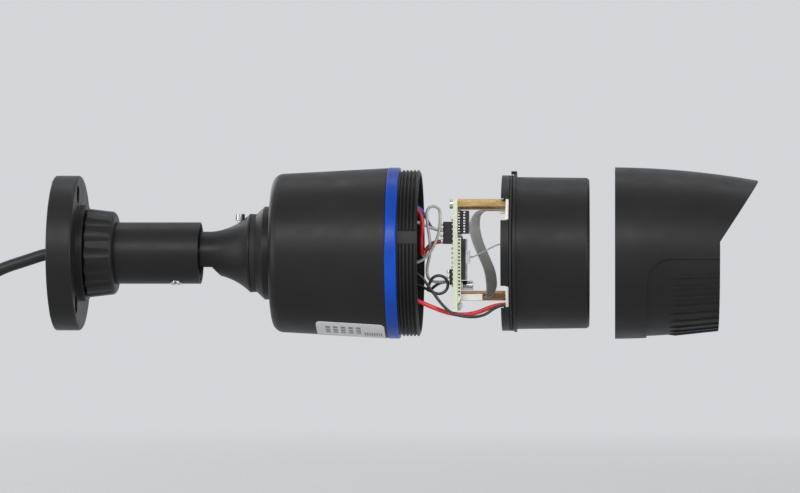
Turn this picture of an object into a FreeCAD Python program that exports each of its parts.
"""A tube security camera on a wall bracket, drawn apart along its axis.

Millimetres. The origin is the middle of the wall flange's back face, +X runs along the camera's
axis away from the wall and +Z is up. At rest the front module is drawn out of the housing on its
wires and the hood is drawn off the module. The joints close the camera up.
"""

import FreeCAD, Part
import math
import os
import re

import Sketcher

DIMENSIONS = {
    # Wall flange
    "flange_diameter": 64,
    "flange_thickness": 10.4,
    "flange_wall": 3,
    "flange_edge_round": 1.2,
    "bolt_circle": 52,
    "bolt_hole_diameter": 4.5,
    "bolt_head_diameter": 8,
    "bolt_head_depth": 4.5,
    "bolt_boss_wall": 1.8,
    "bolt_turn": 23,
    "bolt_count": 3,
    "step_wall": 4.9,
    "step_height": 2.6,
    "spigot_thread_diameter": 30,
    "spigot_thread_length": 7,
    "cable_diameter": 5,
    "grommet_wall": 2.4,
    "grommet_rim": 1.6,
    "grommet_rim_thickness": 1,
    "grommet_length": 7,
    "hub_wall": 3,
    # Lock ring on the flange
    "ring_length": 12,
    "ring_wall": 3.3,
    "ring_taper": 1.1,
    "ring_front_round": 2.4,
    "ring_rear_chamfer": 0.8,
    "flute_count": 16,
    "flute_radius": 6,
    "flute_depth": 0.5,
    # Bracket arm and ball joint
    "arm_diameter": 25.4,
    "arm_length": 39.9,
    "arm_wall": 2.6,
    "arm_foot_thickness": 2.9,
    "arm_mouth_lip": 0.6,
    "ball_setback": 10,
    "seat_reach": 3,
    "stem_diameter": 10,
    "stem_wall": 2,
    "grub_diameter": 5.2,
    "grub_turn": 14,
    "grub_proud": 0.3,
    "grub_slot_width": 0.8,
    "grub_slot_depth": 1,
    # Neck horn and its lock screw
    "horn_neck_wall": 3.8,
    "horn_neck_length": 4.5,
    "horn_flare_length": 15.8,
    "horn_flare_diameter": 32.4,
    "horn_flare_radius": 26,
    "horn_rim": 0.8,
    "notch_floor_wall": 0.75,
    "notch_length": 5,
    "notch_slope": 9.4,
    "roll_screw_diameter": 2.4,
    "roll_screw_setback": 5,
    "roll_head_diameter": 3.8,
    "roll_head_height": 2.6,
    "roll_head_top": 16.1,
    "roll_tip_engagement": 0.7,
    # Swivel spigot of the housing and its seal
    "swivel_diameter": 17,
    "swivel_length": 10.4,
    "swivel_wall": 2.5,
    "swivel_groove_width": 2.9,
    "swivel_groove_depth": 1,
    "neck_seal_thickness": 2,
    "neck_seal_diameter": 32.2,
    # Tube of the camera
    "body_diameter": 70.4,
    "tail_rear_diameter": 32.4,
    "tail_front_diameter": 38.4,
    "tail_slope_length": 3.2,
    "tail_length": 6.7,
    "housing_length": 47.6,
    "housing_taper": 2.3,
    "housing_corner_radius": 4.5,
    "housing_wall": 2.3,
    "trim_ring_width": 4.8,
    "trim_ring_proud": 0.2,
    "trim_ring_edge": 0.5,
    "collar_length": 8.4,
    "collar_wall": 1.3,
    "thread_pitch": 1.5,
    "thread_depth": 0.7,
    "thread_crest": 0.45,
    "thread_flank": 0.42,
    "thread_count": 5,
    "thread_break_width": 5.4,
    "thread_break_height": 6.5,
    "bung_length": 11.5,
    "bung_rim": 3,
    "label_length": 28,
    "label_setback": 0.9,
    "label_turn": 82,
    "label_width": 29.6,
    "label_corner": 2,
    "label_thickness": 0.15,
    # Front module, and how far it is drawn out
    "module_draw": 38.5,
    "plug_length": 4.9,
    "plug_clearance": 0.25,
    "plug_wall": 3.2,
    "bead_height": 0.5,
    "bead_width": 1.1,
    "o_ring_section": 1.3,
    "o_ring_standoff": 0.2,
    "key_width": 4,
    "key_length": 1.2,
    "key_height": 1.3,
    "barrel_length": 29.7,
    "barrel_step": 0.7,
    "barrel_taper": 0.35,
    "barrel_edge_round": 1.5,
    "barrel_shoulder": 1.8,
    "window_thickness": 2.2,
    "window_recess": 0.3,
    "window_seal_thickness": 0.5,
    "window_land": 1.5,
    # Boards
    "ear_reach": 3.1,
    "ear_low": 13.6,
    "ear_high": 21.9,
    "carrier_thickness": 1.2,
    "carrier_inset": 2,
    "standoff_length": 19.8,
    "standoff_across": 3.5,
    "standoff_top": 20,
    "standoff_bottom": 17.7,
    "standoff_edge": 2.9,
    "board_screw_diameter": 2,
    "board_screw_length": 5,
    "board_head_diameter": 3.8,
    "board_head_height": 1.4,
    "board_thickness": 1.8,
    "board_rise": 21.9,
    "board_drop": 23.6,
    "board_clearance": 2,
    # Parts on the boards
    "transformer_depth": 4.3,
    "transformer_width": 12,
    "transformer_edge": 3.8,
    "transformer_bottom": 7.9,
    "transformer_height": 9.4,
    "shield_depth": 3.2,
    "shield_width": 20,
    "shield_edge": 3.8,
    "shield_bottom": -11,
    "shield_height": 16.8,
    "shield_wall": 0.3,
    "coax_depth": 1.8,
    "coax_width": 3,
    "coax_height": 5.2,
    "coax_bottom": -4.2,
    "header_depth": 4.2,
    "header_width": 9,
    "header_edge": 5.3,
    "header_bottom": 3.7,
    "header_height": 9.1,
    "power_header_bottom": -13,
    "power_header_height": 6.4,
    "power_header_depth": 1.6,
    "ribbon_socket_depth": 2.6,
    "ribbon_plug_depth": 10,
    "ribbon_socket_height": 2.6,
    "ribbon_socket_wall": 0.7,
    "ribbon_width": 12,
    "ribbon_thickness": 0.4,
    "ribbon_upper": 17.4,
    "ribbon_lower": -18,
    "ribbon_skew": 3.8,
    "ribbon_clearance": 0.4,
    "capacitor_diameter": 4,
    "capacitor_length": 5.4,
    "capacitor_pitch": 6,
    # Lens and lamps
    "sensor_width": 10,
    "sensor_thickness": 1.6,
    "mount_width": 18,
    "mount_wall": 2,
    "mount_thickness": 5,
    "mount_length": 9.4,
    "lens_diameter": 12,
    "lens_length": 19.5,
    "lens_setback": 0.9,
    "lens_head_diameter": 14,
    "lens_head_length": 9,
    "lens_recess": 1.6,
    "lens_rim": 1.6,
    "lens_glass_thickness": 2,
    "lens_glass_radius": 16,
    "lamp_board_thickness": 1.6,
    "lamp_board_hole": 19,
    "lamp_board_depth": 11.1,
    "lamp_diameter": 5,
    "lamp_rim_diameter": 5.8,
    "lamp_rim_height": 1,
    "lamp_height": 7.4,
    "lamp_margin": 4.5,
    "lamp_ring_pitch": 7.7,
    "lamp_outer_count": 15,
    "lamp_inner_count": 9,
    "photocell_height": 2,
    "shroud_wall": 3.4,
    "shroud_length": 7.9,
    # Hood, and how far it is drawn off
    "hood_draw": 88.1,
    "hood_length": 42.2,
    "visor_reach": 16.1,
    "visor_low": 4.5,
    "hood_crown_drop": 5.5,
    "hood_crown_radius": 345,
    "hood_rim_wall": 0.85,
    "hood_wall": 1.7,
    "hood_barrel_gap": 0.5,
    "grip_setback": 12.8,
    "grip_top": -2.5,
    "grip_corner": 10,
    "grip_depth": 0.8,
    "rib_count": 19,
    "rib_setback": 7.4,
    "rib_height": 0.5,
    "rib_angle": 2,
    "rib_run_in": 4.5,
    "rib_sweep": 146.6,
    "hood_gasket_thickness": 1.2,
    # Free cable
    "coil_mean_diameter": 52,
    "coil_packing": 1.21,
    "coil_drop": 92,
    "coil_offset": 46.5,
    "tail_cable_start": 10,
    "tail_cable_length": 14,
    "tie_width": 4,
    "tie_thickness": 0.9,
    "jack_diameter": 10,
    "jack_length": 22,
    "jack_relief_length": 10,
    "jack_relief_diameter": 6.4,
    "jack_socket_diameter": 5.6,
    "jack_socket_depth": 9,
    "jack_pin_diameter": 2.1,
    "jack_pin_setback": 1.5,
    # Wires of the camera
    "wire_diameter": 1.2,
    "thick_wire_diameter": 1.8,
    "lead_diameter": 0.6,
    # Clearances
    "fit_clearance": 0.05,
    "running_clearance": 0.1,
    "face_gap": 0.3,
    "arm_clearance": 0.2,
    "thread_clearance": 0.15,
    "key_clearance": 0.3,
    "tie_clearance": 0.15,
}

doc = FreeCAD.newDocument("tube_camera")
sheet = doc.addObject("Spreadsheet::Sheet", "Sizes")
for row, (alias, size) in enumerate(DIMENSIONS.items(), start=1):
    sheet.set(f"A{row}", alias)
    sheet.set(f"B{row}", str(size))
    sheet.setAlias(f"B{row}", alias)
doc.recompute()

X = FreeCAD.Vector(1, 0, 0)
ALONG_X = FreeCAD.Rotation(FreeCAD.Vector(0, 1, 0), 90)
UPRIGHT = FreeCAD.Rotation()
DOWNWARD = FreeCAD.Rotation(FreeCAD.Vector(1, 0, 0), 180)
LEFT, RIGHT = "left", "right"
# How much of the shorter run a bend of a cord takes up, and how far a tube's volume may be off
BEND_SHARE = 0.45
VOLUME_TOLERANCE = 0.02
nodes = {}


def link(formula):
    """A formula of sheet names as an expression that an object can be bound to."""
    return re.sub(
        r"[a-z_]+",
        lambda word: "Sizes." + word.group() if word.group() in DIMENSIONS else word.group(),
        str(formula),
    )


def value(formula):
    """The number that a formula of sheet names gives."""
    return float(sheet.evalExpression(link(formula)))


def bind(thing, **formulas):
    """Bind an object's properties to formulas of sheet names."""
    for name, formula in formulas.items():
        thing.setExpression(name, link(formula))
    return thing


def keep(name, thing):
    """Make an object one of the camera's sub-parts."""
    thing.Label = name
    nodes[name] = thing
    return thing


# Stations along the axis, from the wall outwards
STEP_FRONT = "(flange_thickness + step_height)"
SPIGOT_FRONT = f"({STEP_FRONT} + spigot_thread_length)"
RING_REAR = f"({STEP_FRONT} + face_gap)"
RING_FRONT = f"({RING_REAR} + ring_length)"
FOOT_REAR = f"({SPIGOT_FRONT} + running_clearance)"
FOOT_FRONT = f"({FOOT_REAR} + arm_foot_thickness)"
ARM_END = f"({FOOT_REAR} + arm_length)"
BALL_X = f"({ARM_END} - ball_setback)"
HORN_REAR = f"({ARM_END} + face_gap)"
FLARE_REAR = f"({HORN_REAR} + horn_neck_length)"
FLARE_FRONT = f"({FLARE_REAR} + horn_flare_length)"
HORN_FRONT = f"({FLARE_FRONT} + horn_rim)"
SEAL_REAR = f"({HORN_FRONT} + running_clearance)"
TAIL_REAR = f"({SEAL_REAR} + neck_seal_thickness)"
SWIVEL_REAR = f"({TAIL_REAR} - swivel_length)"
CAVITY_REAR = f"({SWIVEL_REAR} - face_gap)"
ROLL_SCREW_X = f"({HORN_FRONT} - roll_screw_setback)"
HOUSING_REAR = f"({TAIL_REAR} + tail_length)"
TRIM_REAR = f"({HOUSING_REAR} + housing_length)"
TRIM_FRONT = f"({TRIM_REAR} + trim_ring_width)"
COLLAR_FRONT = f"({TRIM_FRONT} + collar_length)"
BEAD_REAR = f"({COLLAR_FRONT} + module_draw)"
BEAD_FRONT = f"({BEAD_REAR} + bead_width)"
PLUG_REAR = f"({BEAD_REAR} - plug_length)"
BARREL_FRONT = f"({BEAD_FRONT} + barrel_length)"
CARRIER_REAR = f"({PLUG_REAR} + carrier_inset)"
CARRIER_FRONT = f"({CARRIER_REAR} + carrier_thickness)"
BOARD_FRONT = f"({CARRIER_REAR} - standoff_length)"
BOARD_REAR = f"({BOARD_FRONT} - board_thickness)"
WINDOW_FRONT = f"({BARREL_FRONT} - window_recess)"
WINDOW_REAR = f"({WINDOW_FRONT} - window_thickness)"
WINDOW_LEDGE = f"({WINDOW_REAR} - window_seal_thickness)"
LAMP_FRONT = f"({BARREL_FRONT} - lamp_board_depth)"
LAMP_REAR = f"({LAMP_FRONT} - lamp_board_thickness)"
HOOD_REAR = f"({TRIM_FRONT} + running_clearance + hood_draw)"
HOOD_FRONT = f"({HOOD_REAR} + hood_length)"
VISOR_TIP = f"({HOOD_FRONT} + visor_reach)"
SOCKET_DEPTH = "(collar_length + bead_width + hood_gasket_thickness + 2 * face_gap)"
SOCKET_FLOOR = f"({HOOD_REAR} + {SOCKET_DEPTH})"
TAIL_CORE = f"({TAIL_REAR} + housing_wall)"
BUNG_REAR = f"({TAIL_CORE} - bung_length / 2)"
BUNG_FRONT = f"({TAIL_CORE} + bung_length)"
GROOVE_MIDDLE = f"({BEAD_REAR} - o_ring_standoff - o_ring_section / 2 - fit_clearance)"
HEADER_FACE = f"({BOARD_REAR} - header_depth)"
POWER_FACE = f"({BOARD_REAR} - power_header_depth)"
LENS_REAR = f"({CARRIER_FRONT} + mount_thickness + lens_setback)"
LENS_FRONT = f"({LENS_REAR} + lens_length)"
MOUNT_FRONT = f"({CARRIER_FRONT} + mount_thickness + mount_length)"

# Radii, from the outside of the tube inwards
FLANGE_R = "(flange_diameter / 2)"
SPIGOT_R = "(spigot_thread_diameter / 2)"
RING_BORE_R = f"({SPIGOT_R} + running_clearance)"
RING_R = f"({RING_BORE_R} + ring_wall)"
GROMMET_R = "(cable_diameter / 2 + grommet_wall)"
HUB_BORE_R = f"({GROMMET_R} + fit_clearance)"
HUB_R = f"({HUB_BORE_R} + hub_wall)"
ARM_R = "(arm_diameter / 2)"
SEAT_R = f"({ARM_R} - arm_wall)"
BALL_R = f"({SEAT_R} - running_clearance)"
STEM_R = "(stem_diameter / 2)"
CABLE_R = "(cable_diameter / 2)"
STEM_BORE_R = f"({STEM_R} - stem_wall)"
STEM_SEAT_R = f"({STEM_R} + fit_clearance)"
HORN_NECK_R = f"({STEM_SEAT_R} + horn_neck_wall)"
ROLL_HEAD = "(roll_head_top - roll_head_height)"
SWIVEL_R = "(swivel_diameter / 2)"
SWIVEL_BORE_R = f"({SWIVEL_R} - swivel_wall)"
CAVITY_R = f"({SWIVEL_R} + running_clearance)"
BODY_R = "(body_diameter / 2)"
HOUSING_FRONT_R = f"({BODY_R} - trim_ring_proud)"
HOUSING_REAR_R = f"({HOUSING_FRONT_R} - housing_taper)"
SOCKET_R = f"({BODY_R} - hood_rim_wall)"
CREST_R = f"({SOCKET_R} - thread_clearance)"
ROOT_R = f"({CREST_R} - thread_depth)"
MOUTH_R = f"({ROOT_R} - collar_wall)"
PLUG_R = f"({MOUTH_R} - plug_clearance)"
BEAD_R = f"({PLUG_R} + bead_height)"
BARREL_REAR_R = f"({PLUG_R} - barrel_step)"
BARREL_FRONT_R = f"({BARREL_REAR_R} - barrel_taper)"
BARREL_BORE_R = f"({PLUG_R} - plug_wall)"
SHOULDER_R = f"({BARREL_BORE_R} - barrel_shoulder)"
WINDOW_R = f"({SHOULDER_R} + window_land)"
CARRIER_R = f"({BARREL_BORE_R} - key_clearance)"
BOARD_HALF = f"sqrt(({MOUTH_R} - board_clearance) ^ 2 - board_drop ^ 2)"
STANDOFF_Y = f"({BOARD_HALF} - standoff_edge)"
STANDOFF_R = "(standoff_across / sqrt(3))"
SOCKET_NEAR = f"({STANDOFF_Y} - {STANDOFF_R} - face_gap)"
RIBBON_NEAR = f"({SOCKET_NEAR} - ribbon_socket_wall)"
SHIELD_NEAR = f"({BOARD_HALF} - shield_edge)"
HOOD_TIP_R = f"({BODY_R} - hood_crown_drop)"
O_RING_R = f"({PLUG_R} + plug_clearance / 2 - o_ring_section / 2)"
LAMP_RING_R = f"({SHOULDER_R} - lamp_margin)"
SHROUD_BORE_R = "(lens_head_diameter / 2 + 2 * face_gap)"
SHROUD_R = f"({SHROUD_BORE_R} + shroud_wall)"
COIL_BUNDLE_R = "(cable_diameter * coil_packing)"
TAIL_X = f"(-coil_offset - {COIL_BUNDLE_R} + {CABLE_R})"
SCREW_HOLE_R = "(board_screw_diameter / 2 + running_clearance)"
LEAD_Y = f"(coax_width / 2 - {SHIELD_NEAR})"
STANDOFF_SPOTS = [
    (f"-{STANDOFF_Y}", "standoff_top"),
    (STANDOFF_Y, "standoff_top"),
    (STANDOFF_Y, "-standoff_bottom"),
]


def new_body(name):
    return doc.addObject("PartDesign::Body", name)


def origin_part(body, role):
    """One of a body's own origin planes or axes."""
    return next(part for part in body.Origin.OriginFeatures if part.Role == role)


def sketch_on(body, role, turn=0):
    """A sketch on one of a body's origin planes, turned about the plane's first axis."""
    sketch = body.newObject("Sketcher::SketchObject", f"{body.Name}_sketch")
    sketch.AttachmentSupport = (origin_part(body, role), [""])
    sketch.MapMode = "FlatFace"
    sketch.AttachmentOffset = FreeCAD.Placement(FreeCAD.Vector(), FreeCAD.Rotation(X, turn))
    return sketch


def side_of(start, end, radius, hand):
    """A straight side, or an arc of a radius that turns to one hand."""
    if radius is None:
        return Part.LineSegment(start, end), 1, 2
    half = (end - start) / 2
    across = FreeCAD.Vector(-half.y, half.x, 0) * (1 if hand == LEFT else -1)
    centre = start + half + across * (math.sqrt(radius**2 - half.Length**2) / half.Length)
    first, last = (start, end) if hand == LEFT else (end, start)
    angles = [math.atan2(point.y - centre.y, point.x - centre.x) for point in (first, last)]
    circle = Part.Circle(centre, FreeCAD.Vector(0, 0, 1), radius)
    arc = Part.ArcOfCircle(circle, angles[0], angles[1])
    return (arc, 1, 2) if hand == LEFT else (arc, 2, 1)


def fix_to(sketch, geometry, end, across, up):
    """Bind a point of a sketch to two formulas of sheet names."""
    for kind, formula in (("DistanceX", across), ("DistanceY", up)):
        rule = Sketcher.Constraint(kind, -1, 1, geometry, end, value(formula))
        number = sketch.addConstraint(rule)
        sketch.setExpression(f"Constraints[{number}]", link(formula))


def draw(sketch, corners):
    """Draw a closed outline. A corner is two formulas and, where the side that leads to it is an
    arc, the arc's radius and the hand it turns to."""
    spots = [FreeCAD.Vector(value(c[0]), value(c[1]), 0) for c in corners]
    ends = []
    for number, corner in enumerate(corners):
        radius, hand = (corner[2], corner[3]) if len(corner) > 2 else (None, None)
        length = None if radius is None else value(radius)
        side, start, end = side_of(spots[number - 1], spots[number], length, hand)
        geometry = sketch.addGeometry(side)
        ends.append((geometry, start, end))
        if radius is not None:
            rule = sketch.addConstraint(Sketcher.Constraint("Radius", geometry, length))
            sketch.setExpression(f"Constraints[{rule}]", link(radius))
    for number, (geometry, _, end) in enumerate(ends):
        following, start, _ = ends[(number + 1) % len(ends)]
        sketch.addConstraint(Sketcher.Constraint("Coincident", geometry, end, following, start))
        fix_to(sketch, geometry, end, corners[number][0], corners[number][1])
    return sketch


def draw_circle(sketch, across, up, radius):
    """Draw a circle bound to formulas of sheet names."""
    centre = FreeCAD.Vector(value(across), value(up), 0)
    circle = Part.Circle(centre, FreeCAD.Vector(0, 0, 1), value(radius))
    geometry = sketch.addGeometry(circle)
    fix_to(sketch, geometry, 3, across, up)
    rule = sketch.addConstraint(Sketcher.Constraint("Radius", geometry, value(radius)))
    sketch.setExpression(f"Constraints[{rule}]", link(radius))
    return sketch


def turn_about(body, sketch, angle="360"):
    """Revolve a profile about its sketch's first axis."""
    turned = body.newObject("PartDesign::Revolution", f"{body.Name}_turned")
    turned.Profile = sketch
    turned.ReferenceAxis = (sketch, ["H_Axis"])
    bind(turned, Angle=angle)
    return turned


def turned(name, corners):
    """A turned piece: its half section revolved about the camera's axis."""
    body = new_body(name)
    turn_about(body, draw(sketch_on(body, "XZ_Plane"), corners))
    return body


def cut(body, sketch, depth=None, towards_normal=False, both_ways=False):
    """Pocket a sketch into its body, right through where no depth is given."""
    pocket = body.newObject("PartDesign::Pocket", f"{body.Name}_cut")
    pocket.Profile = sketch
    pocket.Reversed = towards_normal
    if both_ways:
        pocket.SideType = "Symmetric"
    if depth is None:
        pocket.Type = "ThroughAll"
    else:
        bind(pocket, Length=depth)
    return pocket


def pad(body, sketch, length, both_ways=False):
    """Pad a sketch along its normal, or to both sides of its plane."""
    raised = body.newObject("PartDesign::Pad", f"{body.Name}_pad")
    raised.Profile = sketch
    if both_ways:
        raised.SideType = "Symmetric"
    bind(raised, Length=length)
    return raised


def repeat(body, features, count, angle="360"):
    """Repeat features of a body about the camera's axis."""
    pattern = body.newObject("PartDesign::PolarPattern", f"{body.Name}_pattern")
    pattern.Originals = features
    pattern.Axis = (origin_part(body, "X_Axis"), [""])
    bind(pattern, Angle=angle, Occurrences=count)
    body.Tip = pattern
    return pattern


def solid(kind, name, spot, rotation=UPRIGHT, **formulas):
    """A primitive solid with its sizes and its place bound to the sheet."""
    thing = doc.addObject(f"Part::{kind}", name)
    thing.Placement = FreeCAD.Placement(FreeCAD.Vector(), rotation)
    bind(thing, **formulas)
    for axis, formula in zip("xyz", spot):
        thing.setExpression(f"Placement.Base.{axis}", link(formula))
    return thing


def box(name, spot, length, width, height):
    return solid("Box", name, spot, Length=length, Width=width, Height=height)


def rod(name, spot, radius, length, rotation=ALONG_X):
    return solid("Cylinder", name, spot, rotation, Radius=radius, Height=length)


def minus(name, base, tool):
    thing = doc.addObject("Part::Cut", name)
    thing.Base = base
    thing.Tool = tool
    return thing


def overlap(name, base, tool):
    thing = doc.addObject("Part::Common", name)
    thing.Base = base
    thing.Tool = tool
    return thing


def fused(name, pieces):
    thing = doc.addObject("Part::MultiFuse", name)
    thing.Shapes = pieces
    return thing


def group(name, pieces):
    """Identical pieces that stay separate solids."""
    thing = doc.addObject("Part::Compound", name)
    thing.Links = pieces
    return thing


def ring(name, rear, front, inner, outer):
    """A plain ring on the camera's axis."""
    return turned(name, [(rear, inner), (rear, outer), (front, outer), (front, inner)])


def wall_flange():
    """The moulded flange: a hollow disc with bolt bosses and a threaded spigot."""
    cavity = "(flange_thickness - flange_wall)"
    rim = f"({FLANGE_R} - flange_wall)"
    step = f"({SPIGOT_R} + step_wall)"
    body = turned(
        "wall_flange",
        [
            ("0", rim),
            ("0", f"{FLANGE_R} - flange_edge_round / 2"),
            ("flange_edge_round / 2", FLANGE_R, "flange_edge_round / 2", RIGHT),
            ("flange_thickness - flange_edge_round", FLANGE_R),
            ("flange_thickness", f"{FLANGE_R} - flange_edge_round", "flange_edge_round", RIGHT),
            ("flange_thickness", step),
            (STEP_FRONT, step),
            (STEP_FRONT, SPIGOT_R),
            (SPIGOT_FRONT, SPIGOT_R),
            (SPIGOT_FRONT, HUB_BORE_R),
            ("grommet_rim_thickness", HUB_BORE_R),
            ("grommet_rim_thickness", HUB_R),
            (cavity, HUB_R),
            (cavity, rim),
        ],
    )
    across, up = "-bolt_circle / 2 * sin(bolt_turn)", "bolt_circle / 2 * cos(bolt_turn)"
    boss = sketch_on(body, "YZ_Plane")
    draw_circle(boss, across, up, "bolt_head_diameter / 2 + bolt_boss_wall")
    boss = pad(body, boss, cavity)
    hole = draw_circle(sketch_on(body, "YZ_Plane"), across, up, "bolt_hole_diameter / 2")
    hole = cut(body, hole, towards_normal=True)
    head = sketch_on(body, "YZ_Plane")
    head.setExpression("AttachmentOffset.Base.z", link("flange_thickness - bolt_head_depth"))
    draw_circle(head, across, up, "bolt_head_diameter / 2")
    head = cut(body, head, towards_normal=True)
    repeat(body, [boss, hole, head], "bolt_count")
    return body


def cable_grommet():
    rim = f"({GROMMET_R} + grommet_rim)"
    bore = f"({CABLE_R} + fit_clearance)"
    return turned(
        "cable_grommet",
        [
            ("0", bore),
            ("0", rim),
            ("grommet_rim_thickness", rim),
            ("grommet_rim_thickness", GROMMET_R),
            ("grommet_length", GROMMET_R),
            ("grommet_length", bore),
        ],
    )


def lock_ring():
    """The fluted ring nut that holds the arm's foot on the flange's spigot."""
    lip = f"({ARM_R} + arm_clearance)"
    lip_rear = f"({FOOT_FRONT} + arm_clearance)"
    front = f"({RING_R} - ring_taper)"
    body = turned(
        "lock_ring",
        [
            (RING_REAR, RING_BORE_R),
            (RING_REAR, f"{RING_R} - ring_rear_chamfer"),
            (f"{RING_REAR} + ring_rear_chamfer", RING_R),
            (f"{RING_FRONT} - ring_front_round", front),
            (RING_FRONT, f"{front} - ring_front_round", "ring_front_round", RIGHT),
            (RING_FRONT, lip),
            (lip_rear, lip),
            (lip_rear, RING_BORE_R),
        ],
    )
    # The flutes lean inwards with the ring's taper
    lean = math.degrees(math.atan(value("ring_taper / ring_length")))
    flute = sketch_on(body, "YZ_Plane", turn=lean)
    at_wall = f"{RING_R} + flute_radius - flute_depth + {RING_REAR} * ring_taper / ring_length"
    draw_circle(flute, "0", f"({at_wall}) / sqrt(1 + (ring_taper / ring_length) ^ 2)", "flute_radius")
    repeat(body, [cut(body, flute, towards_normal=True)], "flute_count")
    return body


def bracket_arm():
    """The arm: a tube with a foot under the lock ring and a ball seat at its mouth."""
    foot = f"({SPIGOT_R} - face_gap)"
    seat_end = f"({BALL_X} + seat_reach)"
    body = turned(
        "bracket_arm",
        [
            (FOOT_REAR, SEAT_R),
            (FOOT_REAR, foot),
            (FOOT_FRONT, foot),
            (FOOT_FRONT, ARM_R),
            (ARM_END, ARM_R),
            (ARM_END, f"{ARM_R} - arm_mouth_lip"),
            (seat_end, f"sqrt({SEAT_R} ^ 2 - seat_reach ^ 2)"),
            (BALL_X, SEAT_R, SEAT_R, LEFT),
        ],
    )
    hole = sketch_on(body, "XY_Plane", turn=-value("grub_turn"))
    draw_circle(hole, BALL_X, "0", "grub_diameter / 2 + fit_clearance")
    cut(body, hole)
    return body


def tilt_lock_screw():
    """The slotted grub screw under the arm that clamps the ball."""
    face = f"({ARM_R} + grub_proud)"
    body = new_body("tilt_lock_screw")
    shank, slot = (sketch_on(body, "XY_Plane", turn=-value("grub_turn")) for _ in range(2))
    for sketch in (shank, slot):
        sketch.setExpression("AttachmentOffset.Base.y", link(f"-{face} * sin(grub_turn)"))
        sketch.setExpression("AttachmentOffset.Base.z", link(f"-{face} * cos(grub_turn)"))
    draw_circle(shank, BALL_X, "0", "grub_diameter / 2")
    pad(body, shank, f"{face} - {SEAT_R} - fit_clearance")
    left, right = f"{BALL_X} - grub_slot_width / 2", f"{BALL_X} + grub_slot_width / 2"
    draw(
        slot,
        [
            (left, "-grub_diameter"),
            (right, "-grub_diameter"),
            (right, "grub_diameter"),
            (left, "grub_diameter"),
        ],
    )
    cut(body, slot, "grub_slot_depth", towards_normal=True)
    return body


def ball_stem():
    """The ball and its stem, bored for the cable."""
    return turned(
        "ball_stem",
        [
            (f"{BALL_X} - sqrt({BALL_R} ^ 2 - {STEM_BORE_R} ^ 2)", STEM_BORE_R),
            (f"{BALL_X} + sqrt({BALL_R} ^ 2 - {STEM_R} ^ 2)", STEM_R, BALL_R, RIGHT),
            (CAVITY_REAR, STEM_R),
            (CAVITY_REAR, STEM_BORE_R),
        ],
    )


def neck_horn():
    """The flared neck, notched underneath so that it can nod past the arm's mouth."""
    flare = "(horn_flare_diameter / 2)"
    body = turned(
        "neck_horn",
        [
            (HORN_REAR, STEM_SEAT_R),
            (HORN_REAR, HORN_NECK_R),
            (FLARE_REAR, HORN_NECK_R),
            (FLARE_FRONT, flare, "horn_flare_radius", LEFT),
            (HORN_FRONT, flare),
            (HORN_FRONT, CAVITY_R),
            (CAVITY_REAR, CAVITY_R),
            (CAVITY_REAR, STEM_SEAT_R),
        ],
    )
    floor = f"-({STEM_SEAT_R} + notch_floor_wall)"
    notch_end = f"({HORN_REAR} + notch_length)"
    notch = draw(
        sketch_on(body, "XZ_Plane"),
        [
            (ARM_END, floor),
            (notch_end, floor),
            (f"{notch_end} + notch_slope", f"-{flare}"),
            (ARM_END, f"-{flare}"),
        ],
    )
    cut(body, notch, both_ways=True)
    hole = sketch_on(body, "XY_Plane")
    draw_circle(hole, ROLL_SCREW_X, "0", "roll_screw_diameter / 2 + running_clearance")
    cut(body, hole, towards_normal=True)
    spotface = sketch_on(body, "XY_Plane")
    spotface.setExpression("AttachmentOffset.Base.z", link(f"{ROLL_HEAD} - face_gap"))
    draw_circle(spotface, ROLL_SCREW_X, "0", "roll_head_diameter / 2 + face_gap")
    cut(body, spotface, towards_normal=True)
    return body


def roll_lock_screw():
    """The screw on top of the neck whose tip runs in the swivel's groove."""
    tip = f"({SWIVEL_R} - roll_tip_engagement)"
    shank = rod(
        "roll_shank",
        (ROLL_SCREW_X, "0", tip),
        "roll_screw_diameter / 2",
        f"{ROLL_HEAD} - {tip}",
        UPRIGHT,
    )
    spot = (ROLL_SCREW_X, "0", ROLL_HEAD)
    cap = rod("roll_cap", spot, "roll_head_diameter / 2", "roll_head_height", UPRIGHT)
    floor = "roll_head_top - grub_slot_depth"
    slot = box(
        "roll_slot",
        (f"{ROLL_SCREW_X} - grub_slot_width / 2", "-roll_head_diameter", floor),
        "grub_slot_width",
        "2 * roll_head_diameter",
        "2 * grub_slot_depth",
    )
    return minus("roll_lock_screw", fused("roll_screw_blank", [shank, cap]), slot)


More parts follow.
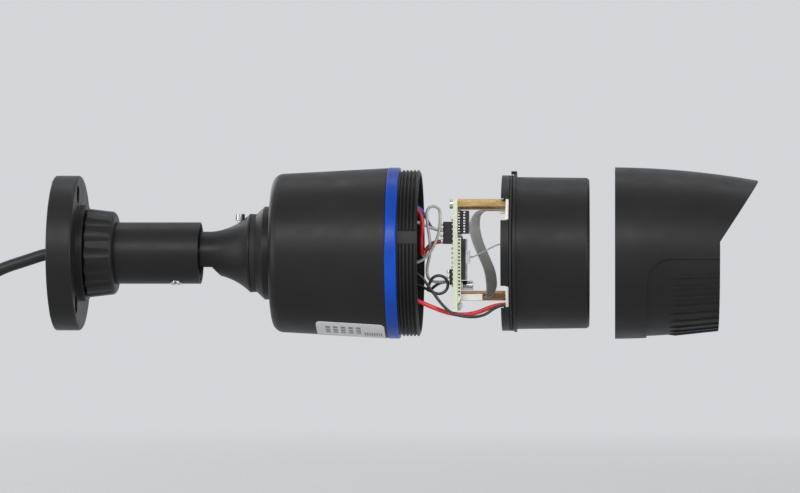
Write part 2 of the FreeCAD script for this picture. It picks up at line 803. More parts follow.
def rear_housing():
    """The moulded rear housing: swivel, tail, tube and threaded collar in one piece."""
    groove_rear = f"({ROLL_SCREW_X} - swivel_groove_width / 2)"
    groove_front = f"({ROLL_SCREW_X} + swivel_groove_width / 2)"
    groove_r = f"({SWIVEL_R} - swivel_groove_depth)"
    floor = f"({HOUSING_REAR} + housing_wall)"
    core_r = "(tail_rear_diameter / 2 - housing_wall)"
    inside_rear_r = f"({HOUSING_REAR_R} - housing_wall)"
    corner = "housing_corner_radius"
    inner_corner = "(housing_corner_radius - housing_wall)"
    threads = []
    for number in range(int(value("thread_count"))):
        middle = f"({TRIM_FRONT} + {number + 1} * thread_pitch)"
        threads += [
            (f"{middle} - thread_crest / 2 - thread_flank", ROOT_R),
            (f"{middle} - thread_crest / 2", CREST_R),
            (f"{middle} + thread_crest / 2", CREST_R),
            (f"{middle} + thread_crest / 2 + thread_flank", ROOT_R),
        ]
    body = turned(
        "rear_housing",
        [
            (SWIVEL_REAR, SWIVEL_BORE_R),
            (SWIVEL_REAR, SWIVEL_R),
            (groove_rear, SWIVEL_R),
            (groove_rear, groove_r),
            (groove_front, groove_r),
            (groove_front, SWIVEL_R),
            (TAIL_REAR, SWIVEL_R),
            (TAIL_REAR, "tail_rear_diameter / 2"),
            (f"{TAIL_REAR} + tail_slope_length", "tail_front_diameter / 2"),
            (HOUSING_REAR, "tail_front_diameter / 2"),
            (HOUSING_REAR, f"{HOUSING_REAR_R} - {corner}"),
            (f"{HOUSING_REAR} + {corner}", HOUSING_REAR_R, corner, RIGHT),
            (TRIM_REAR, HOUSING_FRONT_R),
            (TRIM_REAR, ROOT_R),
            *threads,
            (f"{COLLAR_FRONT} - thread_depth", ROOT_R),
            (COLLAR_FRONT, f"{ROOT_R} - thread_depth / 2"),
            (COLLAR_FRONT, MOUTH_R),
            (TRIM_REAR, MOUTH_R),
            (f"{HOUSING_REAR} + {corner}", inside_rear_r),
            (floor, f"{inside_rear_r} - {inner_corner}", inner_corner, LEFT),
            (floor, core_r),
            (TAIL_CORE, core_r),
            (TAIL_CORE, SWIVEL_BORE_R),
        ],
    )
    keyway = draw(
        sketch_on(body, "XY_Plane"),
        [
            (f"{COLLAR_FRONT} + face_gap", "-key_width / 2 - key_clearance"),
            (f"{COLLAR_FRONT} + face_gap", "key_width / 2 + key_clearance"),
            (f"{COLLAR_FRONT} - key_length - key_clearance", "key_width / 2 + key_clearance"),
            (f"{COLLAR_FRONT} - key_length - key_clearance", "-key_width / 2 - key_clearance"),
        ],
    )
    cut(body, keyway, towards_normal=True)
    # The thread stops short on both sides, where the mould parts
    low = "(thread_break_height - thread_break_width / 2)"
    high = "(thread_break_height + thread_break_width / 2)"
    for near, hand in (("-1", LEFT), ("1", RIGHT)):
        gap = draw(
            sketch_on(body, "YZ_Plane"),
            [
                (f"{near} * sqrt({ROOT_R} ^ 2 - {low} ^ 2)", low, ROOT_R, hand),
                (f"{near} * {BODY_R}", low),
                (f"{near} * {BODY_R}", high),
                (f"{near} * sqrt({ROOT_R} ^ 2 - {high} ^ 2)", high),
            ],
        )
        gap.setExpression("AttachmentOffset.Base.z", link(TRIM_FRONT))
        cut(body, gap, towards_normal=True)
    return body


def trim_ring():
    """The coloured ring between the housing and its collar."""
    inner = f"({ROOT_R} + fit_clearance)"
    edge = "trim_ring_edge"
    return turned(
        "trim_ring",
        [
            (TRIM_REAR, inner),
            (TRIM_REAR, f"{BODY_R} - {edge}"),
            (f"{TRIM_REAR} + {edge}", BODY_R, edge, RIGHT),
            (f"{TRIM_FRONT} - {edge}", BODY_R),
            (TRIM_FRONT, f"{BODY_R} - {edge}", edge, RIGHT),
            (TRIM_FRONT, inner),
        ],
    )


def rating_label():
    """The blank label under the housing: a sheet with round corners, wrapped on the taper."""
    front = f"({TRIM_REAR} - label_setback)"
    rear = f"({front} - label_length)"
    side = "(label_width / 2)"
    run = "(housing_length - housing_corner_radius)"
    skin = f"{HOUSING_FRONT_R} + fit_clearance - housing_taper * ({TRIM_REAR} - "
    wrap = turned(
        "label_wrap",
        [
            (rear, f"{skin}{rear}) / {run}"),
            (rear, f"{skin}{rear}) / {run} + label_thickness"),
            (front, f"{skin}{front}) / {run} + label_thickness"),
            (front, f"{skin}{front}) / {run}"),
        ],
    )
    sheet = new_body("label_sheet")
    outline = draw(
        sketch_on(sheet, "XZ_Plane", turn=value("label_turn")),
        [
            (f"{front} - label_corner", f"-{side}"),
            (front, f"label_corner - {side}", "label_corner", LEFT),
            (front, f"{side} - label_corner"),
            (f"{front} - label_corner", side, "label_corner", LEFT),
            (f"{rear} + label_corner", side),
            (rear, f"{side} - label_corner", "label_corner", LEFT),
            (rear, f"label_corner - {side}"),
            (f"{rear} + label_corner", f"-{side}", "label_corner", LEFT),
        ],
    )
    pad(sheet, outline, "body_diameter")
    return overlap("rating_label", wrap, sheet)


def cable_bung():
    """The rubber bung that seals the cable into the swivel and lets the wires out."""
    bore = f"({SWIVEL_BORE_R} - fit_clearance)"
    return turned(
        "cable_bung",
        [
            (BUNG_REAR, "0"),
            (BUNG_REAR, bore),
            (TAIL_CORE, bore),
            (TAIL_CORE, f"{bore} + bung_rim"),
            (BUNG_FRONT, f"{bore} + bung_rim"),
            (BUNG_FRONT, "0"),
        ],
    )


def front_barrel():
    """The module's barrel: a plug with a seal groove, a bead, a key and the window's seat."""
    groove_r = f"({O_RING_R} - o_ring_section / 2 - fit_clearance)"
    groove_half = "(o_ring_section / 2 + fit_clearance)"
    window_bore = f"({WINDOW_R} + running_clearance)"
    body = turned(
        "front_barrel",
        [
            (PLUG_REAR, BARREL_BORE_R),
            (PLUG_REAR, PLUG_R),
            (f"{GROOVE_MIDDLE} - {groove_half}", PLUG_R),
            (f"{GROOVE_MIDDLE} - {groove_half}", groove_r),
            (f"{GROOVE_MIDDLE} + {groove_half}", groove_r),
            (f"{GROOVE_MIDDLE} + {groove_half}", PLUG_R),
            (BEAD_REAR, PLUG_R),
            (BEAD_REAR, BEAD_R),
            (BEAD_FRONT, BEAD_R),
            (BEAD_FRONT, BARREL_REAR_R),
            (f"{BARREL_FRONT} - barrel_edge_round", BARREL_FRONT_R),
            (BARREL_FRONT, f"{BARREL_FRONT_R} - barrel_edge_round", "barrel_edge_round", RIGHT),
            (BARREL_FRONT, window_bore),
            (WINDOW_LEDGE, window_bore),
            (WINDOW_LEDGE, SHOULDER_R),
            (LAMP_FRONT, SHOULDER_R),
            (LAMP_FRONT, BARREL_BORE_R),
        ],
    )
    # The key is a finger on the bead that stands clear of the seal and enters the collar's keyway
    key_low = f"({MOUTH_R} + running_clearance)"
    key = draw(
        sketch_on(body, "XZ_Plane"),
        [
            (f"{BEAD_REAR} - key_length", key_low),
            (BEAD_REAR, key_low),
            (BEAD_REAR, PLUG_R),
            (BEAD_FRONT, PLUG_R),
            (BEAD_FRONT, f"{key_low} + key_height"),
            (f"{BEAD_REAR} - key_length", f"{key_low} + key_height"),
        ],
    )
    pad(body, key, "key_width", both_ways=True)
    for low, high in (("ear_low", "ear_high"), ("-ear_high", "-ear_low")):
        slot = sketch_on(body, "YZ_Plane")
        slot.setExpression("AttachmentOffset.Base.z", link(CARRIER_FRONT))
        draw(
            slot,
            [
                (f"-{BODY_R}", f"{low} - key_clearance"),
                (BODY_R, f"{low} - key_clearance"),
                (BODY_R, f"{high} + key_clearance"),
                (f"-{BODY_R}", f"{high} + key_clearance"),
            ],
        )
        cut(body, slot)
    return body


def screw_holes(name, rear, thickness):
    """Tools for the screw holes at the pillars, through a board of a thickness."""
    length = f"{thickness} + 2 * face_gap"
    tools = [
        rod(f"{name}_{number}", (f"{rear} - face_gap", across, up), SCREW_HOLE_R, length)
        for number, (across, up) in enumerate(STANDOFF_SPOTS)
    ]
    return group(f"{name}s", tools)


def carrier_board():
    """The white board across the plug, with four ears in the plug's slots."""
    spot = (CARRIER_REAR, "0", "0")
    reach = f"{BARREL_BORE_R} + ear_reach - key_clearance"
    disc = rod("carrier_disc", spot, CARRIER_R, "carrier_thickness")
    wide = rod("carrier_reach", spot, reach, "carrier_thickness")
    bands = [
        box(
            f"carrier_band_{number}",
            (CARRIER_REAR, f"-{BODY_R}", low),
            "carrier_thickness",
            "body_diameter",
            "ear_high - ear_low",
        )
        for number, low in enumerate(("ear_low", "-ear_high"))
    ]
    ears = overlap("carrier_ears", wide, fused("carrier_bands", bands))
    blank = fused("carrier_blank", [disc, ears])
    holes = screw_holes("carrier_hole", CARRIER_REAR, "carrier_thickness")
    return minus("carrier_board", blank, holes)


def main_board():
    """The camera's main circuit board."""
    blank = box(
        "board_blank",
        (BOARD_REAR, f"-{BOARD_HALF}", "-board_drop"),
        "board_thickness",
        f"2 * {BOARD_HALF}",
        "board_rise + board_drop",
    )
    return minus("main_board", blank, screw_holes("board_hole", BOARD_REAR, "board_thickness"))


def standoffs():
    """Three tapped hexagonal pillars between the boards."""
    pillars = []
    for number, (across, up) in enumerate(STANDOFF_SPOTS):
        spot = (BOARD_FRONT, across, up)
        pillar = doc.addObject("Part::Prism", f"pillar_{number}")
        pillar.Polygon = 6
        pillar.Placement = FreeCAD.Placement(FreeCAD.Vector(), ALONG_X)
        bind(pillar, Circumradius="standoff_across / sqrt(3)", Height="standoff_length")
        for axis, formula in zip("xyz", spot):
            pillar.setExpression(f"Placement.Base.{axis}", link(formula))
        bore = rod(f"pillar_bore_{number}", spot, SCREW_HOLE_R, "standoff_length")
        pillars.append(minus(f"tapped_pillar_{number}", pillar, bore))
    return group("standoffs", pillars)


def board_screws():
    """Pan head screws through both boards into the pillars."""
    screws = []
    for number, (across, up) in enumerate(STANDOFF_SPOTS):
        for side, face, way in (("rear", BOARD_REAR, -1), ("front", CARRIER_FRONT, 1)):
            name = f"{side}_screw_{number}"
            head_at = f"{face} - board_head_height" if way < 0 else face
            shank_at = face if way < 0 else f"{face} - board_screw_length"
            head = ("board_head_diameter / 2", "board_head_height")
            shank = ("board_screw_diameter / 2", "board_screw_length")
            pieces = [
                rod(f"{name}_head", (head_at, across, up), *head),
                rod(f"{name}_shank", (shank_at, across, up), *shank),
            ]
            screws.append(fused(name, pieces))
    return group("board_screws", screws)


def shield_can():
    """A folded tin lid over the radio, open towards the board."""
    outside = box(
        "shield_outside",
        (BOARD_FRONT, f"-{SHIELD_NEAR}", "shield_bottom"),
        "shield_depth",
        "shield_width",
        "shield_height",
    )
    inside = box(
        "shield_inside",
        (BOARD_FRONT, f"-{SHIELD_NEAR} + shield_wall", "shield_bottom + shield_wall"),
        "shield_depth - shield_wall",
        "shield_width - 2 * shield_wall",
        "shield_height - 2 * shield_wall",
    )
    return minus("shield_can", outside, inside)


def board_parts():
    """The parts that stand on the boards."""
    keep("shield_can", shield_can())
    keep(
        "network_transformer",
        box(
            "network_transformer",
            (BOARD_FRONT, f"transformer_edge - {BOARD_HALF}", "transformer_bottom"),
            "transformer_depth",
            "transformer_width",
            "transformer_height",
        ),
    )
    keep(
        "antenna_socket",
        box(
            "antenna_socket",
            (f"{BOARD_FRONT} + shield_depth", LEAD_Y + " - coax_width / 2", "coax_bottom"),
            "coax_depth",
            "coax_width",
            "coax_height",
        ),
    )
    for name, face, bottom, depth, height in (
        ("wire_header", HEADER_FACE, "header_bottom", "header_depth", "header_height"),
        ("power_header", POWER_FACE, "power_header_bottom", "power_header_depth", "power_header_height"),
    ):
        spot = (face, f"header_edge - {BOARD_HALF}", bottom)
        keep(name, box(name, spot, depth, "header_width", height))
    upper = f"{CARRIER_REAR} - ribbon_socket_depth"
    for name, rear, middle, depth in (
        ("lower_ribbon_socket", BOARD_FRONT, "ribbon_lower", "ribbon_plug_depth"),
        ("upper_ribbon_socket", upper, "ribbon_upper", "ribbon_socket_depth"),
    ):
        keep(
            name,
            box(
                name,
                (rear, f"-{SOCKET_NEAR}", f"{middle} - ribbon_socket_height / 2"),
                depth,
                "ribbon_width + 2 * ribbon_socket_wall",
                "ribbon_socket_height",
            ),
        )
    above_pillar = f"{STANDOFF_R} - standoff_bottom + face_gap + capacitor_diameter / 2"
    cans = [
        rod(
            f"capacitor_{number}",
            (BOARD_FRONT, f"{number} * capacitor_pitch + capacitor_diameter", above_pillar),
            "capacitor_diameter / 2",
            "capacitor_length",
        )
        for number in range(2)
    ]
    keep("capacitors", group("capacitors", cans))
    keep(
        "image_sensor",
        box(
            "image_sensor",
            (CARRIER_FRONT, "-sensor_width / 2", "-sensor_width / 2"),
            "sensor_thickness",
            "sensor_width",
            "sensor_width",
        ),
    )


def lens_mount():
    """The square holder over the sensor, with a threaded sleeve for the lens."""
    base = box(
        "mount_base",
        (CARRIER_FRONT, "-mount_width / 2", "-mount_width / 2"),
        "mount_thickness",
        "mount_width",
        "mount_width",
    )
    sleeve = rod(
        "mount_sleeve",
        (f"{CARRIER_FRONT} + mount_thickness / 2", "0", "0"),
        "lens_diameter / 2 + mount_wall",
        f"{MOUNT_FRONT} - {CARRIER_FRONT} - mount_thickness / 2",
    )
    chamber = box(
        "mount_chamber",
        (CARRIER_FRONT, "-mount_width / 2 + mount_wall", "-mount_width / 2 + mount_wall"),
        "mount_thickness - mount_wall / 2",
        "mount_width - 2 * mount_wall",
        "mount_width - 2 * mount_wall",
    )
    bore = rod(
        "mount_bore",
        (CARRIER_FRONT, "0", "0"),
        "lens_diameter / 2 + running_clearance",
        f"{MOUNT_FRONT} - {CARRIER_FRONT} + face_gap",
    )
    blank = fused("mount_blank", [base, sleeve])
    return minus("lens_mount", blank, fused("mount_hollow", [chamber, bore]))


def lens_barrel():
    """The screw-in lens cell, turned in its mount to focus."""
    shoulder = f"({LENS_FRONT} - lens_head_length)"
    bore = "(lens_diameter / 2 - lens_rim)"
    seat = "(lens_head_diameter / 2 - lens_rim)"
    seat_rear = f"({LENS_FRONT} - lens_recess - lens_glass_thickness)"
    return turned(
        "lens_barrel",
        [
            (LENS_REAR, bore),
            (LENS_REAR, "lens_diameter / 2"),
            (shoulder, "lens_diameter / 2"),
            (shoulder, "lens_head_diameter / 2"),
            (LENS_FRONT, "lens_head_diameter / 2"),
            (LENS_FRONT, f"{seat} + fit_clearance"),
            (seat_rear, f"{seat} + fit_clearance"),
            (seat_rear, bore),
        ],
    )


def lens_glass():
    """The front element: flat behind and domed in front."""
    seat = "(lens_head_diameter / 2 - lens_rim)"
    front = f"({LENS_FRONT} - lens_recess)"
    rear = f"({front} - lens_glass_thickness)"
    sag = f"(lens_glass_radius - sqrt(lens_glass_radius ^ 2 - {seat} ^ 2))"
    return turned(
        "lens_glass",
        [
            (rear, "0"),
            (rear, seat),
            (f"{front} - {sag}", seat),
            (front, "0", "lens_glass_radius", RIGHT),
        ],
    )


def lamp_ring(name, radius, count, sweep):
    """One ring of infrared lamps standing on the lamp board."""
    body = new_body(name)
    sketch = sketch_on(body, "XZ_Plane")
    sketch.setExpression("AttachmentOffset.Base.y", link(radius))
    shoulder = f"({LAMP_FRONT} + lamp_height - lamp_diameter / 2)"
    draw(
        sketch,
        [
            (LAMP_FRONT, "0"),
            (LAMP_FRONT, "lamp_rim_diameter / 2"),
            (f"{LAMP_FRONT} + lamp_rim_height", "lamp_rim_diameter / 2"),
            (f"{LAMP_FRONT} + lamp_rim_height", "lamp_diameter / 2"),
            (shoulder, "lamp_diameter / 2"),
            (f"{LAMP_FRONT} + lamp_height", "0", "lamp_diameter / 2", RIGHT),
        ],
    )
    repeat(body, [turn_about(body, sketch)], count, sweep)
    return body


def lamps():
    """The lamp board, its rings of lamps, and the light sensor in a gap of the outer ring."""
    keep("lamp_board", ring("lamp_board", LAMP_REAR, LAMP_FRONT, "lamp_board_hole / 2", CARRIER_R))
    # Rings of lamps follow each other inwards for as long as they clear the shroud
    sweep = "360 * (lamp_outer_count - 1) / (lamp_outer_count + 1)"
    rings = [lamp_ring("outer_lamps", LAMP_RING_R, "lamp_outer_count", sweep)]
    inner = f"({LAMP_RING_R} - lamp_ring_pitch)"
    while value(f"{inner} - lamp_rim_diameter / 2 - {SHROUD_R}") > 0:
        rings.append(lamp_ring("inner_lamps", inner, "lamp_inner_count", "360"))
        inner = f"({inner} - lamp_ring_pitch)"
    keep("infrared_lamps", group("infrared_lamps", rings))
    gap = "(360 * lamp_outer_count / (lamp_outer_count + 1))"
    spot = (LAMP_FRONT, f"-{LAMP_RING_R} * sin({gap})", f"{LAMP_RING_R} * cos({gap})")
    keep("light_sensor", rod("light_sensor", spot, "lamp_diameter / 2", "photocell_height"))
    shroud_front = f"{LAMP_FRONT} + shroud_length"
    keep("lens_shroud", ring("lens_shroud", LAMP_FRONT, shroud_front, SHROUD_BORE_R, SHROUD_R))


def hood():
    """The screw-on hood: a crowned shell with a visor above and a ribbed grip below."""
    inner_front = f"({BARREL_FRONT_R} + hood_barrel_gap / 2)"
    crown = "hood_crown_radius"
    grooves = []
    for number in reversed(range(int(value("thread_count")))):
        middle = f"({HOOD_REAR} + {number + 1} * thread_pitch)"
        grooves += [
            (f"{middle} + thread_pitch / 4", SOCKET_R),
            (middle, f"{SOCKET_R} + hood_rim_wall / 2"),
            (f"{middle} - thread_pitch / 4", SOCKET_R),
        ]
    shell = turned(
        "hood_shell",
        [
            (HOOD_REAR, SOCKET_R),
            (HOOD_REAR, BODY_R),
            (VISOR_TIP, HOOD_TIP_R, crown, RIGHT),
            (VISOR_TIP, f"{HOOD_TIP_R} - hood_wall"),
            (HOOD_FRONT, inner_front),
            (SOCKET_FLOOR, f"{BARREL_REAR_R} + hood_barrel_gap"),
            (SOCKET_FLOOR, SOCKET_R),
            *grooves,
        ],
    )
    visor_edge = draw(
        sketch_on(shell, "XZ_Plane"),
        [
            (HOOD_FRONT, f"-{BODY_R}"),
            (f"{VISOR_TIP} + face_gap", f"-{BODY_R}"),
            (f"{VISOR_TIP} + face_gap", f"{HOOD_TIP_R} - hood_wall / 2"),
            (VISOR_TIP, f"{HOOD_TIP_R} - hood_wall / 2"),
            (HOOD_FRONT, "visor_low"),
        ],
    )
    cut(shell, visor_edge, both_ways=True)
    # The grip is the crowned surface set back by the grip's depth, inside a rounded outline
    core = turned(
        "grip_core",
        [
            (HOOD_REAR, "0"),
            (HOOD_REAR, f"{BODY_R} - grip_depth"),
            (VISOR_TIP, f"{HOOD_TIP_R} - grip_depth", crown, RIGHT),
            (VISOR_TIP, "0"),
        ],
    )
    rear = f"({HOOD_REAR} + grip_setback)"
    outline = new_body("grip_outline")
    sketch = draw(
        sketch_on(outline, "XZ_Plane"),
        [
            (rear, f"-{BODY_R}"),
            (f"{HOOD_FRONT} + face_gap", f"-{BODY_R}"),
            (f"{HOOD_FRONT} + face_gap", "grip_top"),
            (f"{rear} + grip_corner", "grip_top"),
            (rear, "grip_top - grip_corner", "grip_corner", LEFT),
        ],
    )
    pad(outline, sketch, "body_diameter", both_ways=True)
    gripped = minus("gripped_shell", shell, minus("grip_tool", outline, core))
    return fused("hood", [gripped, grip_ribs()])


def grip_ribs():
    """Fine ribs that rise along the grip, from one side of the hood round to the other."""
    rear = f"({HOOD_REAR} + grip_setback + rib_setback)"
    risen = f"({rear} + rib_run_in)"
    body = new_body("grip_ribs")
    start = value("90 + (180 - rib_sweep - rib_angle) / 2")
    sketch = sketch_on(body, "XZ_Plane", turn=start)
    crown = f"hood_crown_drop * ((AT - {HOOD_REAR}) / (hood_length + visor_reach)) ^ 2"
    top = f"{BODY_R} - grip_depth + rib_height - {crown}"
    rear_top, front_top = top.replace("AT", rear), top.replace("AT", HOOD_FRONT)
    risen_top = top.replace("AT", risen)
    draw(
        sketch,
        [
            (rear, f"{rear_top} - rib_height - grip_depth / 2"),
            (risen, risen_top),
            (HOOD_FRONT, front_top),
            (HOOD_FRONT, f"{front_top} - rib_height - grip_depth / 2"),
        ],
    )
    rib = turn_about(body, sketch, "rib_angle")
    repeat(body, [rib], "rib_count", "rib_sweep")
    return body


def rounded_path(points):
    """Straight runs joined by arcs, each as large as its two runs allow, and the arcs' radii."""
    edges, radii = [], []
    start = points[0]
    for before, corner, after in zip(points, points[1:], points[2:]):
        back, ahead = (before - corner), (after - corner)
        trim = BEND_SHARE * min(back.Length, ahead.Length)
        back.normalize()
        ahead.normalize()
        turn = math.pi - back.getAngle(ahead)
        radius = trim / math.tan(turn / 2)
        first, last = corner + back * trim, corner + ahead * trim
        inward = (back + ahead).normalize()
        centre = corner + inward * (radius / math.cos(turn / 2))
        middle = centre - inward * radius
        edges += [Part.LineSegment(start, first), Part.Arc(first, middle, last)]
        radii.append(radius)
        start = last
    edges.append(Part.LineSegment(start, points[-1]))
    return Part.Wire([edge.toShape() for edge in edges]), radii


def tube(name, route, diameter):
    """A round cord along a route of points, compared with its section times its length."""
    points = [FreeCAD.Vector(*point) for point in route]
    path, radii = rounded_path(points)
    section = Part.Circle(points[0], points[1] - points[0], diameter / 2).toShape()
    shape = path.makePipeShell([Part.Wire([section])], True, False)
    expected = math.pi * diameter**2 / 4 * path.Length
    if abs(shape.Volume - expected) > VOLUME_TOLERANCE * expected:
        raise ValueError(f"{name}: volume {shape.Volume:.1f}, expected {expected:.1f}")
    print(f"{name}: {path.Length:.1f} mm, smallest radius {min(radii, default=0):.1f} mm")
    thing = doc.addObject("Part::Feature", name)
    thing.Shape = shape
    return thing


def wires():
    """The camera's wires, from the bung in the housing to the module's boards."""
    bung, mouth = value(BUNG_FRONT), value(COLLAR_FRONT)
    board, ear = value(BOARD_REAR), value(CARRIER_REAR)
    header, power = value(HEADER_FACE), value(POWER_FACE)
    near = value(f"header_edge - {BOARD_HALF}")

    def inside(share, across, up):
        """A point of the housing, at a share of the way from the bung to the mouth."""
        return bung + share * (mouth - bung), across, up

    def end(face, inward, up):
        """A point on a face that a wire runs into, measured inwards from the headers' near end."""
        return face, near + inward, up

    def outside(ahead, inward, up):
        """A point beside the main board, ahead of its back or behind it."""
        return end(board + ahead, inward, up)

    # The black wire makes one turn beside the lower header, drawing away from the viewer as it goes
    loop = []
    for step in range(8):
        angle = math.radians(225 + 45 * step)
        loop.append(outside(4 * math.cos(angle) - 5.9, 0.22 * step - 2.7, 4 * math.sin(angle) - 12.9))
    routes = {
        "red_lamp_wire": [
            inside(0, -2.2, -5), inside(0.126, -2.2, -5), inside(0.37, -6.4, -7.2),
            inside(0.63, -13.4, -11), inside(0.86, -20.3, -16.2), outside(-11, -7.8, -20.9),
            outside(-1, 0, -25.1), outside(7.8, 1, -25.2), outside(17.6, 2.5, -21), end(ear, 2.5, -21),
        ],
        "black_lamp_wire": [
            inside(0, -4.8, -2.2), inside(0.126, -4.8, -2.2), inside(0.37, -7.4, -3), inside(0.6, -12.6, -4),
            inside(0.8, -18.9, -5.8), outside(-13.8, -8.5, -8.2), outside(-10.2, -8.5, -12.8),
            outside(-4.2, -6.9, -21.4), outside(0.8, -4.3, -25.6), outside(11.6, -0.9, -26.4),
            outside(18.2, -0.1, -21.2), end(ear, -0.1, -21.2),
        ],
        "grey_wire": [
            inside(0, -4.6, 1.6), inside(0.126, -4.6, 1.6), inside(0.35, -7.4, 0.6), inside(0.6, -11.4, -1.6),
            inside(0.815, -15, -3.8), outside(-14.2, -3.3, -4.4), outside(-9, -3.9, 0.2),
            outside(-5.6, -4.1, 8.4), outside(-5.3, -4.1, 13.4), outside(-5.3, -4.1, 18.4),
            outside(-8, -4.1, 19.9), outside(-10.7, -4.1, 18.4), outside(-10.6, -3.9, 12.6),
            outside(-9.3, -3.1, 4.4), outside(-9.5, -1.5, -0.6), outside(-10.9, 0.3, -6),
            outside(-10.7, 1, -10.4), outside(-8.4, 1.5, -11.8), end(power, 1.5, -11.8),
        ],
        "white_wire": [
            inside(0, 0.6, 3.8), inside(0.126, 0.6, 3.8), inside(0.35, -1.4, 6), inside(0.58, -4.6, 9.4),
            inside(0.78, -7.2, 12.4), outside(-16.8, 4.5, 13.2), outside(-11.8, 4.3, 11.4),
            outside(-8.2, 4.3, 9.6), end(header, 4.3, 9.6),
        ],
        "blue_wire": [
            inside(0, 3.6, 2.2), inside(0.126, 3.6, 2.2), inside(0.35, 2, 5.2), inside(0.58, -1, 10.4),
            inside(0.774, -3.8, 15.6), outside(-17.4, 8.1, 19.6), outside(-13.4, 7.5, 18),
            outside(-10.4, 7.2, 12.4), outside(-8.2, 7.1, 9.2), end(header, 7.1, 9.2),
        ],
        "red_wire": [
            inside(0, -1.4, -0.6), inside(0.126, -1.4, -0.6), inside(0.35, -3.6, 0.8),
            inside(0.58, -7.6, 4.4), inside(0.77, -11, 9.4), outside(-23, 0.7, 14.6),
            outside(-20.2, 0.5, 18.8), outside(-15.6, 0.2, 18.6), outside(-13.1, -0.1, 15),
            outside(-13, -0.1, 0.8), outside(-12.8, 3.3, -1.4), outside(-12.2, 7, 0.2),
            outside(-9.2, 8, 4.8), end(header, 8, 4.8),
        ],
        "black_wire": [
            inside(0, 1.8, -3.2), inside(0.126, 1.8, -3.2), inside(0.35, 0.2, -5.4), inside(0.58, -4, -8.6),
            inside(0.8, -9.4, -11.4), outside(-13.8, -1.7, -13.2), *loop,
            outside(-10.4, 2.4, -14.5), outside(-8.6, 5.4, -11.8), end(power, 5.4, -11.8),
        ],
    }
    for name, route in routes.items():
        thick = name in ("red_lamp_wire", "red_wire")
        size = "thick_wire_diameter" if thick else "wire_diameter"
        keep(name, tube(name, route, value(size)))
    socket, across = value(f"{BOARD_FRONT} + shield_depth + coax_depth"), value(LEAD_Y)
    low, high = value("coax_bottom + coax_height / 2"), value("coax_bottom + 3 * coax_height / 2")
    lead = [
        (socket, across, low), (socket + 1.2, across, low), (ear - 3.4, across, high), (ear, across, high),
    ]
    keep("antenna_lead", tube("antenna_lead", lead, value("lead_diameter")))


def strip_outline(path, thickness, across):
    """The closed outline of a bent strip's edge, in a plane across the strip."""
    sides = []
    for side in (-1, 1):
        corners = []
        for number, (x, z) in enumerate(path):
            ways = []
            for other in (number - 1, number):
                if 0 <= other < len(path) - 1:
                    (x_from, z_from), (x_to, z_to) = path[other], path[other + 1]
                    ways.append(FreeCAD.Vector(x_to - x_from, 0, z_to - z_from).normalize())
            along = sum(ways[1:], ways[0]).normalize()
            widen = 1 / math.cos(along.getAngle(ways[0]))
            shift = FreeCAD.Vector(-along.z, 0, along.x) * (side * widen * thickness / 2)
            corners.append(FreeCAD.Vector(x, across, z) + shift)
        sides.append(rounded_path(corners)[0].Edges)
    first, last = sides
    ends = [
        Part.LineSegment(first[-1].lastVertex().Point, last[-1].lastVertex().Point).toShape(),
        Part.LineSegment(last[0].firstVertex().Point, first[0].firstVertex().Point).toShape(),
    ]
    return Part.Wire(Part.__sortEdges__(first + last + ends))


def ribbon_cable():
    """The flat cable between the boards, skewed so that its far edge stands further forward."""
    rear = value(f"{BOARD_FRONT} + ribbon_plug_depth")
    front = value(f"{CARRIER_REAR} - ribbon_socket_depth")
    belly = value(f"{BOARD_FRONT} + transformer_depth + ribbon_clearance")
    upper, lower, skew = value("ribbon_upper"), value("ribbon_lower"), value("ribbon_skew")
    near = -value(RIBBON_NEAR)
    edges = []
    for across, shift in ((near, 0), (near + value("ribbon_width"), skew)):
        path = [
            (front, upper), (belly + 2.4 + shift / 2, upper), (belly - 0.4 + shift, 11.4),
            (belly + 1 + shift, 5), (belly + 6.4 + shift, -7.4), (belly + 7.1 + shift, -13.6),
            (belly + 7 + shift / 2, lower), (rear, lower),
        ]
        edges.append(strip_outline(path, value("ribbon_thickness"), across))
    thing = doc.addObject("Part::Feature", "ribbon_cable")
    thing.Shape = Part.makeLoft(edges, True, True)
    return thing


def free_cable():
    """The power cable behind the wall flange: its free run, its tied coil and its jack."""
    offset = value("coil_offset")
    route = [
        (0, 0, 0), (-9, 0, 0), (-19, 0, -4), (-29.2, 0, -10.6), (-37.6, 0, -20), (-43, 0, -31.6),
        (-45.6, -2.4, -43.6), (-offset, -7.6, -54), (-offset, -15.6, -63.8), (-offset, -23.3, -73.8),
    ]
    keep("power_cable", tube("power_cable", route, value("cable_diameter")))
    coil = solid(
        "Torus",
        "cable_coil",
        ("-coil_offset", "0", "-coil_drop"),
        ALONG_X,
        Radius1="coil_mean_diameter / 2",
        Radius2=COIL_BUNDLE_R,
    )
    keep("cable_coil", coil)
    left = (TAIL_X, "-coil_mean_diameter / 2", "-coil_drop - tail_cable_start")
    keep("cable_tail", rod("cable_tail", left, CABLE_R, "tail_cable_length", DOWNWARD))
    top = ("-coil_offset", "-tie_width / 2", "-coil_drop + coil_mean_diameter / 2")
    along_y = FreeCAD.Rotation(X, -90)
    inner = f"({COIL_BUNDLE_R} + tie_clearance)"
    band = rod("tie_band", top, f"{inner} + tie_thickness", "tie_width", along_y)
    hole = rod("tie_hole", top, inner, "tie_width", along_y)
    keep("coil_tie", minus("coil_tie", band, hole))


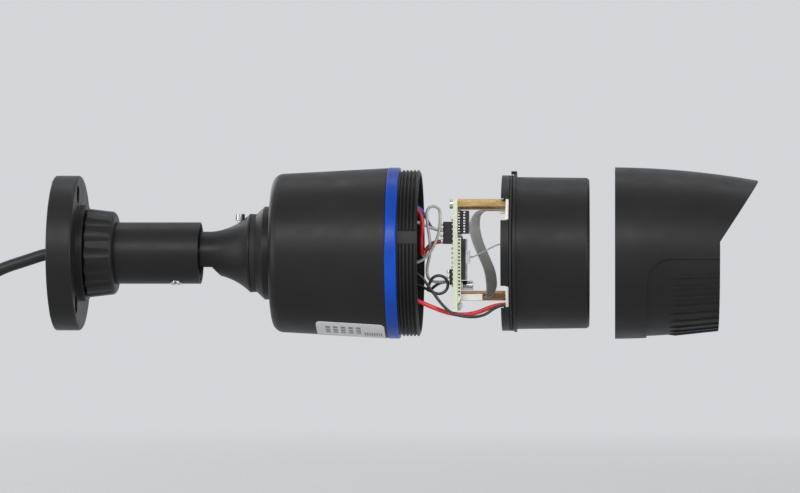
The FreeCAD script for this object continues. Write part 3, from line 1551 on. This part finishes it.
def dc_jack():
    """The moulded jack on the cable's end, with its strain relief and its contact pin."""
    top = "-coil_drop - tail_cable_start - tail_cable_length"
    spot = [TAIL_X, "-coil_mean_diameter / 2", top]
    relief = solid(
        "Cone",
        "jack_relief",
        spot,
        DOWNWARD,
        Radius1="jack_relief_diameter / 2",
        Radius2="jack_diameter / 2",
        Height="jack_relief_length",
    )
    spot[2] += " - jack_relief_length"
    barrel = rod("jack_barrel", spot, "jack_diameter / 2", "jack_length", DOWNWARD)
    spot[2] += " - jack_length + jack_socket_depth"
    socket = rod("jack_socket", spot, "jack_socket_diameter / 2", "jack_socket_depth", DOWNWARD)
    keep("dc_jack", minus("dc_jack", fused("jack_blank", [relief, barrel]), socket))
    pin = rod("jack_pin", spot, "jack_pin_diameter / 2", "jack_socket_depth - jack_pin_setback", DOWNWARD)
    keep("jack_pin", pin)


def build():
    """Make every sub-part, from the wall outwards."""
    for make in (wall_flange, cable_grommet, lock_ring, bracket_arm, tilt_lock_screw, ball_stem):
        keep(make.__name__, make())
    for make in (neck_horn, roll_lock_screw, rear_housing, trim_ring, rating_label, cable_bung):
        keep(make.__name__, make())
    seal_bore = f"({SWIVEL_R} + running_clearance)"
    keep("neck_seal", ring("neck_seal", SEAL_REAR, TAIL_REAR, seal_bore, "neck_seal_diameter / 2"))
    keep("arm_cable", rod("arm_cable", ("0", "0", "0"), CABLE_R, f"{BALL_X} - {BALL_R} - face_gap"))
    ball_bore = f"({BALL_X} - sqrt({BALL_R} ^ 2 - {STEM_BORE_R} ^ 2))"
    neck_cable = rod("neck_cable", (ball_bore, "0", "0"), CABLE_R, f"{BUNG_REAR} - {ball_bore}")
    keep("neck_cable", neck_cable)
    for make in (front_barrel, carrier_board, main_board, standoffs, board_screws):
        keep(make.__name__, make())
    o_ring = solid(
        "Torus",
        "plug_o_ring",
        (GROOVE_MIDDLE, "0", "0"),
        ALONG_X,
        Radius1=O_RING_R,
        Radius2="o_ring_section / 2",
    )
    keep("plug_o_ring", o_ring)
    keep("window_seal", ring("window_seal", WINDOW_LEDGE, WINDOW_REAR, SHOULDER_R, WINDOW_R))
    keep("window_glass", rod("window_glass", (WINDOW_REAR, "0", "0"), WINDOW_R, "window_thickness"))
    board_parts()
    for make in (lens_mount, lens_barrel, lens_glass, ribbon_cable, hood):
        keep(make.__name__, make())
    lamps()
    gasket_rear = f"({SOCKET_FLOOR} - running_clearance - hood_gasket_thickness)"
    gasket_front = f"({SOCKET_FLOOR} - running_clearance)"
    gasket_inner = f"({BARREL_REAR_R} + hood_barrel_gap)"
    gasket_outer = f"({SOCKET_R} - running_clearance)"
    keep("hood_gasket", ring("hood_gasket", gasket_rear, gasket_front, gasket_inner, gasket_outer))
    wires()
    free_cable()
    dc_jack()
    doc.recompute()


def write():
    """Check every object and write each sub-part to its own file."""
    for thing in doc.Objects:
        if {"Invalid", "Error"} & set(thing.State):
            raise ValueError(f"{thing.Name} failed: {thing.State}")
    os.makedirs("parts", exist_ok=True)
    for name, thing in nodes.items():
        shape = thing.Shape
        if shape.isNull() or not shape.isValid() or not shape.Solids:
            raise ValueError(f"{name} has no valid solid")
        shape.exportStep(f"parts/{name}.step")
    print(len(nodes), "sub-parts")


build()
write()
